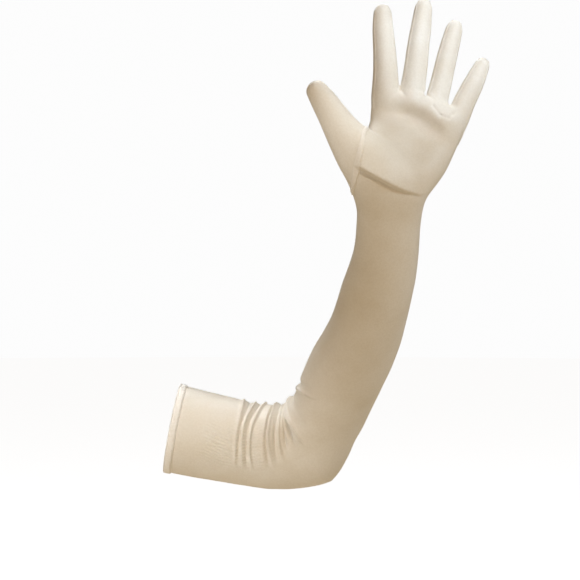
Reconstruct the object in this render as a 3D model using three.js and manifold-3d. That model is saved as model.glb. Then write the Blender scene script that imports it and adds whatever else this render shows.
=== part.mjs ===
// Long satin glove for the left arm, in the form it has when worn: the hem sits on the upper arm,
// the sleeve turns through a bent elbow, climbs to the wrist and ends in an open hand.
// Every piece is a wall of cloth, hollow inside, open from the hem to the fingertips.
//
// Frame, in millimetres: the origin is the centre of the arm opening. +X runs from the hem towards
// the elbow, +Z runs up towards the fingertips, and the palm faces -Y.
import * as THREE from "three";
import { mergeVertices } from "three/addons/utils/BufferGeometryUtils.js";
import Module from "manifold-3d";

const wasm = await Module();
wasm.setup();

// ---------------------------------------------------------------- driving sizes, mm
const WALL = 1.2; // cloth and its seam allowance
const GAP = 0.3; // left between pieces that are sewn together
const HEM_WIDTH = 6.5; // folded band at the arm opening
const HEM_PROUD = 0.9; // how far the folded band stands out of the sleeve
const ELBOW_FROM = 50; // along the arm, where the upper sleeve ends and the elbow begins
const ELBOW_TO = 166; // where the elbow ends and the forearm sleeve begins
const WRIST_AT = 353; // where the forearm sleeve ends and the hand begins
const ARM_SIDES = 26; // facets round the arm
const HAND_SIDES = 24; // facets round the palm
const FINGER_SIDES = 12; // facets round a finger
const FINGER_PALMAR = 0.94; // a finger's depth to the palm side, as a share of its half width
const FINGER_DORSAL = 0.84; // and to the back

// ---------------------------------------------------------------- sections of the arm and palm
// Centre of each section, then its half sizes towards the crook and thumb (radial), the elbow and
// little finger (ulnar), the palm side (palmar) and the back (dorsal). square is 2 for an ellipse.
const ARM = [
  { x: 0.0, y: 0, z: 0.0, radial: 39.5, ulnar: 39.5, palmar: 37.5, dorsal: 37.5, square: 2 }, // hem
  { x: 25.0, y: 0, z: -4.7, radial: 38.0, ulnar: 39.0, palmar: 37.0, dorsal: 37.0, square: 2 },
  { x: 50.1, y: 0, z: -9.3, radial: 36.8, ulnar: 38.8, palmar: 36.5, dorsal: 36.5, square: 2 },
  { x: 73.4, y: 0, z: -12.5, radial: 34.4, ulnar: 39.8, palmar: 36.0, dorsal: 36.0, square: 2 },
  { x: 95.8, y: -3, z: -11.3, radial: 32.6, ulnar: 42.5, palmar: 35.5, dorsal: 35.5, square: 2 },
  { x: 116.3, y: -9, z: -1.8, radial: 29.0, ulnar: 44.0, palmar: 35.0, dorsal: 35.0, square: 2 }, // elbow
  { x: 132.1, y: -18, z: 14.1, radial: 29.0, ulnar: 38.5, palmar: 34.5, dorsal: 34.5, square: 2 },
  { x: 145.0, y: -28, z: 34.3, radial: 33.2, ulnar: 35.0, palmar: 33.5, dorsal: 33.5, square: 2 },
  { x: 157.4, y: -44, z: 60.5, radial: 33.8, ulnar: 34.0, palmar: 32.0, dorsal: 32.0, square: 2 },
  { x: 169.5, y: -60, z: 91.1, radial: 30.6, ulnar: 32.5, palmar: 29.5, dorsal: 29.5, square: 2 },
  { x: 178.7, y: -76, z: 123.5, radial: 29.4, ulnar: 30.0, palmar: 26.0, dorsal: 26.0, square: 2 },
  { x: 184.4, y: -91, z: 155.0, radial: 25.9, ulnar: 27.8, palmar: 22.0, dorsal: 22.0, square: 2 },
  { x: 186.2, y: -101, z: 181.9, radial: 25.6, ulnar: 27.0, palmar: 19.2, dorsal: 19.2, square: 2.1 }, // wrist
  { x: 188.3, y: -106, z: 203.8, radial: 27.4, ulnar: 28.6, palmar: 20.0, dorsal: 17.0, square: 2.2 },
  { x: 194.5, y: -101, z: 224.7, radial: 32.5, ulnar: 34.0, palmar: 19.0, dorsal: 14.5, square: 2.4 },
  { x: 203.4, y: -93, z: 245.3, radial: 35.5, ulnar: 38.0, palmar: 15.0, dorsal: 13.0, square: 2.5 },
  { x: 210.6, y: -86, z: 264.4, radial: 37.0, ulnar: 39.5, palmar: 13.0, dorsal: 12.0, square: 2.5 },
  { x: 213.5, y: -82, z: 275.7, radial: 38.0, ulnar: 37.0, palmar: 12.0, dorsal: 10.5, square: 2.4 }, // knuckles
  { x: 215.6, y: -80, z: 285.3, radial: 38.0, ulnar: 23.0, palmar: 9.5, dorsal: 7.5, square: 2.3 }, // webs
];

// Folds pushed together in the crook of the elbow. at: distance along the arm where the crest meets
// the crook; lean: how far it has slid along the arm by the time it faces the palm side; rise of the
// crest; reach: degrees round the arm, from the crook, where it has died away.
const FOLDS = [
  { at: 64, lean: -5.5, rise: 2.2, reach: 112 },
  { at: 76, lean: -12, rise: 2.5, reach: 112 },
  { at: 88, lean: -17, rise: 2.6, reach: 110 },
  { at: 107, lean: -20, rise: 2.6, reach: 106 },
  { at: 121, lean: -29, rise: 2.6, reach: 100 },
  { at: 134, lean: -16, rise: 3.0, reach: 86 },
  { at: 150, lean: 6, rise: 1.8, reach: 56 },
];
const FOLD_FOOT = 8; // how far the first and last folds run out into the plain sleeve
const CREASE = 0.5; // how deep the creases between the crests are pressed
// The point of the bent elbow, pushing the cloth out opposite the crook.
const ELBOW_POINT = { at: 119, width: 30, rise: 7.5, reach: 62 };

// ---------------------------------------------------------------- fingers and thumb
// Centre line from inside the palm to the tip, with the half width at each place. The last row of
// each is the tip itself. base: the row number, counted in parts, where the finger leaves the hand.
const FINGERS = {
  index_finger: {
    base: 1.12,
    rows: [
      { x: 186.2, y: -86, z: 271.9, half: 12.2, palmar: 6.5 },
      { x: 185.4, y: -84, z: 290.5, half: 11.2 },
      { x: 185.2, y: -84, z: 310.5, half: 10.1 },
      { x: 184.4, y: -83, z: 325.7, half: 9.4 },
      { x: 183.4, y: -81, z: 341.1, half: 8.8 },
      { x: 183.2, y: -79, z: 353.2, half: 7.8 },
      { x: 183.2, y: -78, z: 363.1, half: 0 },
    ],
  },
  middle_finger: {
    base: 1.12,
    rows: [
      { x: 209.1, y: -84, z: 272.1, half: 10.0, palmar: 6.5 },
      { x: 208.2, y: -83, z: 290.6, half: 10.2 },
      { x: 210.9, y: -83, z: 310.7, half: 9.8 },
      { x: 212.8, y: -82, z: 327.6, half: 9.2 },
      { x: 215.3, y: -80, z: 343.0, half: 8.6 },
      { x: 217.2, y: -78, z: 356.8, half: 7.6 },
      { x: 219.0, y: -77, z: 368.3, half: 0 },
    ],
  },
  ring_finger: {
    base: 1.3,
    rows: [
      { x: 223.5, y: -82, z: 265.7, half: 9.6, palmar: 6.5 },
      { x: 227.9, y: -81, z: 280.9, half: 9.5 },
      { x: 232.3, y: -80, z: 297.8, half: 9.0 },
      { x: 236.4, y: -79, z: 315.5, half: 8.6 },
      { x: 239.9, y: -78, z: 329.1, half: 8.1 },
      { x: 242.9, y: -77, z: 340.2, half: 7.3 },
      { x: 245.6, y: -76, z: 350.0, half: 0 },
    ],
  },
  little_finger: {
    base: 1.28,
    rows: [
      { x: 238.8, y: -80, z: 251.7, half: 9.8, palmar: 6.5 },
      { x: 245.8, y: -79, z: 266.5, half: 9.8 },
      { x: 251.8, y: -78, z: 281.0, half: 9.3 },
      { x: 257.8, y: -78, z: 293.0, half: 8.8 },
      { x: 262.8, y: -77, z: 303.2, half: 7.8 },
      { x: 266.4, y: -76, z: 311.0, half: 6.5 },
      { x: 269.2, y: -75, z: 318.3, half: 0 },
    ],
  },
};
const THUMB = [
  { x: 190.5, y: -103, z: 199.5, half: 13.5, palmar: 10.0, dorsal: 10.0 },
  { x: 179.8, y: -107, z: 211.7, half: 21.6, palmar: 16.0, dorsal: 13.5 },
  { x: 166.1, y: -111, z: 229.7, half: 20.8, palmar: 15.5, dorsal: 13.5 },
  { x: 152.9, y: -114, z: 246.3, half: 16.2, palmar: 13.5, dorsal: 12.0 },
  { x: 141.8, y: -116, z: 262.9, half: 12.6, palmar: 11.2, dorsal: 10.4 },
  { x: 133.4, y: -116, z: 276.5, half: 10.7, palmar: 9.8, dorsal: 9.0 },
  { x: 127.6, y: -115, z: 285.1, half: 8.8, palmar: 8.0, dorsal: 7.4 },
  { x: 122.8, y: -114, z: 292.1, half: 0, palmar: 0, dorsal: 0 },
];
// The set-in thumb's seam runs from the web beside the index finger down to the wrist.
const THUMB_SEAM = { top: { x: 167.6, z: 257.4 }, bottom: { x: 160.3, z: 206.5 } };

// ---------------------------------------------------------------- sections along a table
const TOWARDS_PALM = new THREE.Vector3(0, -1, 0);

// A table of sections as a curve: at(t) gives the frame and the half sizes at row t.
function spine(rows, keys) {
  const curve = new THREE.CatmullRomCurve3(
    rows.map((r) => new THREE.Vector3(r.x, r.y, r.z)),
    false,
    "centripetal",
  );
  const last = rows.length - 1;
  const value = (key, t) => {
    const i = Math.min(Math.floor(t), last - 1);
    const f = t - i;
    const p = [i - 1, i, i + 1, i + 2].map((k) => rows[Math.min(Math.max(k, 0), last)][key]);
    return THREE.MathUtils.lerp(p[1], p[2], f) * 0.5 + cubic(p, f) * 0.5;
  };
  const at = (t) => {
    const centre = curve.getPoint(t / last);
    const along = curve.getTangent(t / last).normalize();
    const palmar = TOWARDS_PALM.clone().addScaledVector(along, -TOWARDS_PALM.dot(along)).normalize();
    const radial = new THREE.Vector3().crossVectors(palmar, along).normalize();
    const size = Object.fromEntries(keys.map((k) => [k, value(k, t)]));
    return { t, centre, along, palmar, radial, size };
  };
  return { at, last };
}

function cubic(p, f) {
  const a = (p[2] - p[0]) / 2;
  const b = (p[3] - p[1]) / 2;
  const f2 = f * f;
  const f3 = f2 * f;
  return (2 * f3 - 3 * f2 + 1) * p[1] + (f3 - 2 * f2 + f) * a + (-2 * f3 + 3 * f2) * p[2] + (f3 - f2) * b;
}

// Distance along a spine for each row number, and back again.
function measured(line, steps = 600) {
  const rows = [0];
  const lengths = [0];
  let before = line.at(0).centre;
  for (let i = 1; i <= steps; i++) {
    const t = (line.last * i) / steps;
    const here = line.at(t).centre;
    lengths.push(lengths[i - 1] + here.distanceTo(before));
    rows.push(t);
    before = here;
  }
  const look = (from, to, v) => {
    let i = 1;
    while (i < steps && from[i] < v) i++;
    const f = (v - from[i - 1]) / (from[i] - from[i - 1]);
    return to[i - 1] + (to[i] - to[i - 1]) * f;
  };
  return {
    total: lengths[steps],
    rowAt: (s) => look(lengths, rows, s),
    lengthAt: (t) => look(rows, lengths, t),
  };
}

// One ring of points round a section. inset draws every half size in; lift(angle) pushes a point out.
function ring(section, sides, { inset = 0, lift = null } = {}) {
  const { centre, palmar, radial, size } = section;
  const n = size.square ?? 2;
  return Array.from({ length: sides }, (_, i) => {
    const angle = (2 * Math.PI * i) / sides;
    const c = Math.cos(angle);
    const s = Math.sin(angle);
    const r = (Math.abs(c) ** n + Math.abs(s) ** n) ** (-1 / n);
    const out = lift ? lift(angle) : 0;
    const across = Math.max((c > 0 ? size.radial : size.ulnar) - inset + out, 0.05);
    const deep = Math.max((s > 0 ? size.palmar : size.dorsal) - inset + out, 0.05);
    return centre
      .clone()
      .addScaledVector(radial, r * c * across)
      .addScaledVector(palmar, r * s * deep);
  });
}

const towards = (section, mm) => ({ ...section, centre: section.centre.clone().addScaledVector(section.along, mm) });

// ---------------------------------------------------------------- solids from rings
class Skin {
  constructor() {
    this.points = [];
    this.faces = [];
  }
  add(point) {
    return this.points.push(point) - 1;
  }
  loop(points) {
    return points.map((p) => this.add(p));
  }
  // Faces between two loops of the same count, facing out when b lies further along than a.
  band(a, b, flip = false) {
    for (let i = 0; i < a.length; i++) {
      const j = (i + 1) % a.length;
      this.face(a[i], a[j], b[j], flip);
      this.face(a[i], b[j], b[i], flip);
    }
  }
  fan(loop, centre, flip = false) {
    const c = this.add(centre);
    for (let i = 0; i < loop.length; i++) this.face(loop[i], loop[(i + 1) % loop.length], c, flip);
  }
  face(a, b, c, flip) {
    this.faces.push(flip ? [a, c, b] : [a, b, c]);
  }
  geometry() {
    const g = new THREE.BufferGeometry();
    g.setAttribute("position", new THREE.Float32BufferAttribute(this.points.flatMap((p) => [p.x, p.y, p.z]), 3));
    g.setIndex(this.faces.flat());
    return g;
  }
}

const middle = (points) => points.reduce((sum, p) => sum.add(p), new THREE.Vector3()).divideScalar(points.length);

// A solid through rings, closed flat at both ends. tip replaces the far flat end by a point.
function filled(rings, tip = null) {
  const skin = new Skin();
  const loops = rings.map((r) => skin.loop(r));
  for (let i = 1; i < loops.length; i++) skin.band(loops[i - 1], loops[i]);
  skin.fan(loops[0], middle(rings[0]), true);
  skin.fan(loops.at(-1), tip ?? middle(rings.at(-1)));
  return skin.geometry();
}

// A wall between outer and inner rings, open at both ends, or closed at the far end by two tips.
function wall(outer, inner, tips = null) {
  const skin = new Skin();
  const a = outer.map((r) => skin.loop(r));
  const b = inner.map((r) => skin.loop(r));
  for (let i = 1; i < a.length; i++) skin.band(a[i - 1], a[i]);
  for (let i = 1; i < b.length; i++) skin.band(b[i - 1], b[i], true);
  skin.band(b[0], a[0]);
  if (tips) {
    skin.fan(a.at(-1), tips.outer);
    skin.fan(b.at(-1), tips.inner, true);
  } else skin.band(a.at(-1), b.at(-1));
  return skin.geometry();
}

// ---------------------------------------------------------------- joins and cuts
function solid(geometry) {
  const g = new THREE.BufferGeometry().setAttribute("position", geometry.getAttribute("position").clone());
  if (geometry.index) g.setIndex(geometry.index.clone());
  const merged = mergeVertices(g, 1e-4);
  return new wasm.Manifold(
    new wasm.Mesh({
      numProp: 3,
      vertProperties: new Float32Array(merged.attributes.position.array),
      triVerts: new Uint32Array(merged.index.array),
    }),
  );
}

function geometryOf(made) {
  const m = made.getMesh();
  const g = new THREE.BufferGeometry();
  const v = new Float32Array(m.numVert * 3);
  for (let i = 0; i < m.numVert; i++) v.set(m.vertProperties.subarray(i * m.numProp, i * m.numProp + 3), i * 3);
  g.setAttribute("position", new THREE.BufferAttribute(v, 3));
  g.setIndex(new THREE.BufferAttribute(new Uint32Array(m.triVerts), 1));
  return g;
}

const largest = (made) => made.decompose().sort((a, b) => b.volume() - a.volume())[0];

// ---------------------------------------------------------------- the arm
const ARM_KEYS = ["radial", "ulnar", "palmar", "dorsal", "square"];
const arm = spine(ARM, ARM_KEYS);
const armLength = measured(arm);
const armAt = (s) => arm.at(armLength.rowAt(s));

// How far the point of the elbow pushes the cloth out, on the far side from the crook.
function elbowLift(s, angle) {
  const { at, width, rise, reach } = ELBOW_POINT;
  const away = 180 - Math.abs(THREE.MathUtils.radToDeg(Math.atan2(Math.sin(angle), Math.cos(angle))));
  const d = Math.abs(s - at) / width;
  return d < 1 && away < reach ? rise * (1 - d) ** 1.6 * Math.cos((Math.PI / 2) * (away / reach)) : 0;
}

const steps = (from, to, step) => {
  const n = Math.max(1, Math.round((to - from) / step));
  return Array.from({ length: n + 1 }, (_, i) => from + ((to - from) * i) / n);
};

function sleeve(from, to, step) {
  const layer = (inset) => steps(from, to, step).map((s) => ring(armAt(s), ARM_SIDES, { inset }));
  return wall(layer(0), layer(WALL));
}

// The lines that the elbow's rings follow: a crest, a flank on each side and the crease between.
function foldLines() {
  const edge = (at) => ({ at, lean: 0, rise: 0, reach: 90 });
  const between = (f, g, share, rise) => ({
    at: THREE.MathUtils.lerp(f.at, g.at, share),
    lean: THREE.MathUtils.lerp(f.lean, g.lean, share),
    reach: THREE.MathUtils.lerp(f.reach, g.reach, share),
    rise,
  });
  const first = FOLDS[0];
  const last = FOLDS.at(-1);
  const lines = [edge(ELBOW_FROM), { ...first, at: first.at - FOLD_FOOT, rise: 0 }];
  FOLDS.forEach((f, i) => {
    const before = FOLDS[i - 1] ?? { ...first, at: first.at - 2 * FOLD_FOOT };
    const after = FOLDS[i + 1] ?? { ...last, at: last.at + 2 * FOLD_FOOT };
    lines.push(between(f, before, 0.22, f.rise * 0.55), f, between(f, after, 0.22, f.rise * 0.55));
    if (i < FOLDS.length - 1) lines.push(between(f, after, 0.5, -CREASE));
  });
  return [...lines, { ...last, at: last.at + FOLD_FOOT, lean: last.lean / 2, rise: 0 }, edge(ELBOW_TO)];
}

// One ring of the elbow: it follows its fold on the crook side and spreads out evenly opposite it.
function foldRing(line, index, count, inset) {
  const even = THREE.MathUtils.lerp(ELBOW_FROM, ELBOW_TO, index / (count - 1));
  return Array.from({ length: ARM_SIDES }, (_, i) => {
    const angle = (2 * Math.PI * i) / ARM_SIDES;
    const degrees = Math.min((360 * i) / ARM_SIDES, 360 - (360 * i) / ARM_SIDES);
    const spread = THREE.MathUtils.smoothstep(degrees, 90, 180);
    const s = THREE.MathUtils.lerp(line.at + (line.lean * Math.min(degrees, 110)) / 90, even, spread);
    const fade = degrees < line.reach ? Math.cos((Math.PI / 2) * (degrees / line.reach) ** 2) : 0;
    const out = line.rise * fade + elbowLift(s, angle);
    return ring(armAt(s), ARM_SIDES, { inset, lift: () => out })[i];
  });
}

function elbow() {
  const lines = foldLines();
  const layer = (inset) => lines.map((line, i) => foldRing(line, i, lines.length, inset));
  return wall(layer(0), layer(WALL));
}

// The hem: the edge of the sleeve turned in on itself, standing proud with a rounded lip.
function hem() {
  const profile = [
    { s: 0, out: 0.1 },
    { s: 0.7, out: HEM_PROUD * 0.85 },
    { s: 2.2, out: HEM_PROUD },
    { s: HEM_WIDTH - 1.4, out: HEM_PROUD * 0.9 },
    { s: HEM_WIDTH, out: 0.15 },
  ];
  const outer = profile.map(({ s, out }) => ring(armAt(s), ARM_SIDES, { lift: () => out }));
  const inner = [0, HEM_WIDTH].map((s) => ring(armAt(s), ARM_SIDES, { inset: WALL }));
  return wall(outer, inner);
}

// ---------------------------------------------------------------- the hand
function fingerSpine({ rows }) {
  const made = rows.map((r) => ({
    ...r,
    radial: r.half,
    ulnar: r.half,
    palmar: r.palmar ?? r.half * FINGER_PALMAR,
    dorsal: r.dorsal ?? r.half * FINGER_DORSAL,
  }));
  return spine(made.slice(0, -1), ["radial", "ulnar", "palmar", "dorsal"]);
}

// Rings of a finger from row `from` up over its rounded tip, and the tip point.
function fingerRings(line, rows, from, inset, rowsStep = 0.78) {
  const along = steps(from, line.last, rowsStep);
  const rings = along.map((t) => ring(line.at(t), FINGER_SIDES, { inset }));
  const end = line.at(line.last);
  const tip = new THREE.Vector3(rows.at(-1).x, rows.at(-1).y, rows.at(-1).z);
  const height = end.centre.distanceTo(tip) - inset;
  const way = tip.clone().sub(end.centre).normalize();
  for (const degrees of [32, 60]) {
    const a = THREE.MathUtils.degToRad(degrees);
    const size = Object.fromEntries(Object.entries(end.size).map(([k, v]) => [k, (v - inset) * Math.cos(a)]));
    rings.push(ring({ ...end, size, centre: end.centre.clone().addScaledVector(way, height * Math.sin(a)) }, FINGER_SIDES));
  }
  return { rings, tip: end.centre.clone().addScaledVector(way, height) };
}

const palmRows = steps(armLength.rowAt(WRIST_AT), arm.last, 0.7);
const lastPalm = arm.at(arm.last);
const thin = (size, share) => ({ ...size, palmar: size.palmar * share, dorsal: size.dorsal * share, radial: size.radial - 2, ulnar: size.ulnar - 2 });

// The palm as a filled form, drawn in by inset, with a rounded edge where the fingers leave it.
function palm(inset) {
  const rings = palmRows.map((t) => ring(arm.at(t), HAND_SIDES, { inset }));
  const edge = towards({ ...lastPalm, size: thin(lastPalm.size, 0.55) }, 3.2 - inset);
  rings.push(ring(edge, HAND_SIDES, { inset: inset * 0.6 }));
  if (inset > 0) rings.unshift(ring(towards(arm.at(palmRows[0]), -2), HAND_SIDES, { inset }));
  return solid(filled(rings));
}

const lines = Object.fromEntries(Object.entries(FINGERS).map(([name, f]) => [name, fingerSpine(f)]));

// The stretch of a finger that belongs to the hand, from inside the palm to the finger's own seam.
function stub(name, inset) {
  const { base } = FINGERS[name];
  const rings = steps(0, base, 0.55).map((t) => ring(lines[name].at(t), FINGER_SIDES, { inset }));
  if (inset > 0) {
    rings.push(ring(towards(lines[name].at(base), 2), FINGER_SIDES, { inset }));
    rings[0] = ring(lines[name].at(0), FINGER_SIDES, { inset: inset + 1 });
  }
  return solid(filled(rings));
}

function thumbForm(inset) {
  const line = fingerSpine({ rows: THUMB });
  const { rings, tip } = fingerRings(line, THUMB, 0, inset, 0.66);
  return solid(filled(rings, tip));
}

// A box far larger than the hand, on the thumb's side of the seam, pulled back from it by `off`.
function thumbSide(off) {
  const { top, bottom } = THUMB_SEAM;
  const up = new THREE.Vector3(top.x - bottom.x, 0, top.z - bottom.z).normalize();
  const away = new THREE.Vector3(-up.z, 0, up.x);
  const box = new THREE.BoxGeometry(200, 200, 400);
  const turned = new THREE.Matrix4().makeBasis(away, new THREE.Vector3().crossVectors(up, away), up);
  const centre = new THREE.Vector3(bottom.x, -100, bottom.z).addScaledVector(away, 100 + off).addScaledVector(up, 190);
  return solid(box.applyMatrix4(turned).translate(centre.x, centre.y, centre.z));
}

const names = Object.keys(FINGERS);
const outside = names.reduce((sum, n) => sum.add(stub(n, 0)), palm(0)).add(thumbForm(0));
const inside = names.reduce((sum, n) => sum.add(stub(n, WALL)), palm(WALL)).add(thumbForm(WALL));
const handShell = names.reduce((sum, n) => sum.subtract(clearance(n)), outside.subtract(inside));
const handPiece = largest(handShell.subtract(thumbSide(-GAP / 2)));
const thumbPiece = largest(handShell.intersect(thumbSide(GAP / 2)));

// The room a finger needs beyond its own seam, so that the web beside it keeps clear.
function clearance(name) {
  const { rings, tip } = fingerRings(lines[name], FINGERS[name].rows, FINGERS[name].base, -GAP, 1.2);
  return solid(filled(rings, tip));
}

function finger(name) {
  const { base, rows } = FINGERS[name];
  const line = lines[name];
  const start = base + 0.0001;
  const outer = fingerRings(line, rows, start, 0);
  const inner = fingerRings(line, rows, start, WALL);
  const lifted = (set) => [set[0].map((p) => p.clone().addScaledVector(line.at(start).along, GAP)), ...set.slice(1)];
  return wall(lifted(outer.rings), lifted(inner.rings), { outer: outer.tip, inner: inner.tip });
}

// ---------------------------------------------------------------- the assembly
const glove = new THREE.Group();

// One satin throughout: a pale champagne cream with a soft sheen.
const satin = () => new THREE.MeshStandardMaterial({ color: 0xe9e0cf, roughness: 0.42, metalness: 0 });
const hemSatin = () => new THREE.MeshStandardMaterial({ color: 0xefe7d8, roughness: 0.45, metalness: 0 });

function place(name, geometry, material) {
  const mesh = new THREE.Mesh(geometry, material);
  mesh.name = name;
  geometry.computeVertexNormals();
  glove.add(mesh);
}

place("hem_band", hem(), hemSatin());
place("upper_sleeve", sleeve(HEM_WIDTH + GAP, ELBOW_FROM - GAP, 15), satin());
place("elbow_sleeve", elbow(), satin());
place("forearm_sleeve", sleeve(ELBOW_TO + GAP, WRIST_AT - GAP, 20.5), satin());
place("hand", geometryOf(handPiece), satin());
place("thumb", geometryOf(thumbPiece), satin());
for (const name of names) place(name, finger(name), satin());

export default glove;
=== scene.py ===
"""A long ivory satin glove for the left arm, in its worn form: bent sleeve, gathered elbow, open hand.

The arm and palm are one cloth tube along a smooth line; the hand, fingers and thumb are an implicit
surface that joins the tube at the wrist. Lengths in the tables are millimetres in the part's frame.
"""

import itertools
import math

import bmesh
import bpy
import numpy as np
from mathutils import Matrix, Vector


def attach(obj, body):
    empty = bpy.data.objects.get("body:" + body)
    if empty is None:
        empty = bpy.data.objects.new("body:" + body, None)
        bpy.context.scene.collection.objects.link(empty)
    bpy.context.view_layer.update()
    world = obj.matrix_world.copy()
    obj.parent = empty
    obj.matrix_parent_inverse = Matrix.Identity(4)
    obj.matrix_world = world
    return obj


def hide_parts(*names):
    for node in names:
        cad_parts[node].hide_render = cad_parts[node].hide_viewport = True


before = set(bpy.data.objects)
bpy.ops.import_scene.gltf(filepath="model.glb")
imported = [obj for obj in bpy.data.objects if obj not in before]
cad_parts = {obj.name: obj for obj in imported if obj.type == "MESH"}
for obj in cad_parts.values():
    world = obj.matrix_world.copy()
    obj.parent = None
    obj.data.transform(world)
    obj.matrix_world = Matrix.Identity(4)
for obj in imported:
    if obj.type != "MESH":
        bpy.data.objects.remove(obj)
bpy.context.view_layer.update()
MM = 0.001

# ------------------------------------------------------------------ tables
# x, y, z of the section's centre; half sizes towards the crook and thumb (radial), the elbow and
# little finger (ulnar), the palm side (palmar) and the back (dorsal); and how square the section is.
ARM = np.array([
    [0.0, 0, 0.0, 39.5, 39.5, 37.5, 37.5, 2.0],
    [25.0, 0, -4.7, 38.0, 39.0, 37.0, 37.0, 2.0],
    [50.1, 0, -9.3, 36.8, 38.8, 36.5, 36.5, 2.0],
    [73.4, 0, -12.5, 34.4, 39.8, 36.0, 36.0, 2.0],
    [95.8, -3, -11.3, 32.6, 42.5, 35.5, 35.5, 2.0],
    [116.3, -9, -1.8, 29.0, 44.0, 35.0, 35.0, 2.0],
    [132.1, -18, 14.1, 29.0, 38.5, 34.5, 34.5, 2.0],
    [145.0, -28, 34.3, 33.2, 35.0, 33.5, 33.5, 2.0],
    [157.4, -44, 60.5, 33.8, 34.0, 32.0, 32.0, 2.0],
    [169.5, -60, 91.1, 30.6, 32.5, 29.5, 29.5, 2.0],
    [178.7, -76, 123.5, 29.4, 30.0, 26.0, 26.0, 2.0],
    [184.4, -91, 155.0, 25.9, 27.8, 22.0, 22.0, 2.0],
    [186.2, -101, 181.9, 25.6, 27.0, 19.2, 19.2, 2.1],
    [188.3, -106, 203.8, 27.4, 28.6, 20.0, 17.0, 2.2],
    [194.5, -101, 224.7, 32.5, 34.0, 19.0, 14.5, 2.4],
    [203.4, -93, 245.3, 35.5, 38.0, 15.0, 13.0, 2.5],
    [210.6, -86, 264.4, 37.0, 39.5, 13.0, 12.0, 2.5],
    [213.5, -82, 275.7, 38.0, 37.0, 12.0, 10.5, 2.4],
    [215.6, -80, 285.3, 38.0, 23.0, 9.5, 7.5, 2.3],
])
# x, y, z, half width and depth on the palm side of each section, then the tip; the back is 0.84 of
# the half width deep, and the palm side 0.94 where no depth is given.
FINGERS = {
    "index": ([
        [186.2, -86, 271.9, 12.2, 6.5], [185.4, -84, 290.5, 11.2, 0], [185.2, -84, 310.5, 10.1, 0],
        [184.4, -83, 325.7, 9.4, 0], [183.4, -81, 341.1, 8.8, 0], [183.2, -79, 353.2, 7.8, 0],
    ], [183.2, -78, 363.1]),
    "middle": ([
        [209.1, -84, 272.1, 10.0, 6.5], [208.2, -83, 290.6, 10.2, 0], [210.9, -83, 310.7, 9.8, 0],
        [212.8, -82, 327.6, 9.2, 0], [215.3, -80, 343.0, 8.6, 0], [217.2, -78, 356.8, 7.6, 0],
    ], [219.0, -77, 368.3]),
    "ring": ([
        [223.5, -82, 265.7, 9.6, 6.5], [227.9, -81, 280.9, 9.5, 0], [232.3, -80, 297.8, 9.0, 0],
        [236.4, -79, 315.5, 8.6, 0], [239.9, -78, 329.1, 8.1, 0], [242.9, -77, 340.2, 7.3, 0],
    ], [245.6, -76, 350.0]),
    "little": ([
        [238.8, -80, 251.7, 9.8, 6.5], [245.8, -79, 266.5, 9.8, 0], [251.8, -78, 281.0, 9.3, 0],
        [257.8, -78, 293.0, 8.8, 0], [262.8, -77, 303.2, 7.8, 0], [266.4, -76, 311.0, 6.5, 0],
    ], [269.2, -75, 318.3]),
}
# x, y, z, half width, depth on the palm side and depth on the back; then the tip.
THUMB = ([
    [190.5, -103, 199.5, 13.5, 10.0, 10.0], [179.8, -107, 211.7, 21.6, 16.0, 13.5],
    [166.1, -111, 229.7, 20.8, 15.5, 13.5], [152.9, -114, 246.3, 16.2, 13.5, 12.0],
    [141.8, -116, 262.9, 12.6, 11.2, 10.4], [133.4, -116, 276.5, 10.7, 9.8, 9.0],
    [127.6, -115, 285.1, 8.8, 8.0, 7.4],
], [122.8, -114, 292.1])

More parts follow.
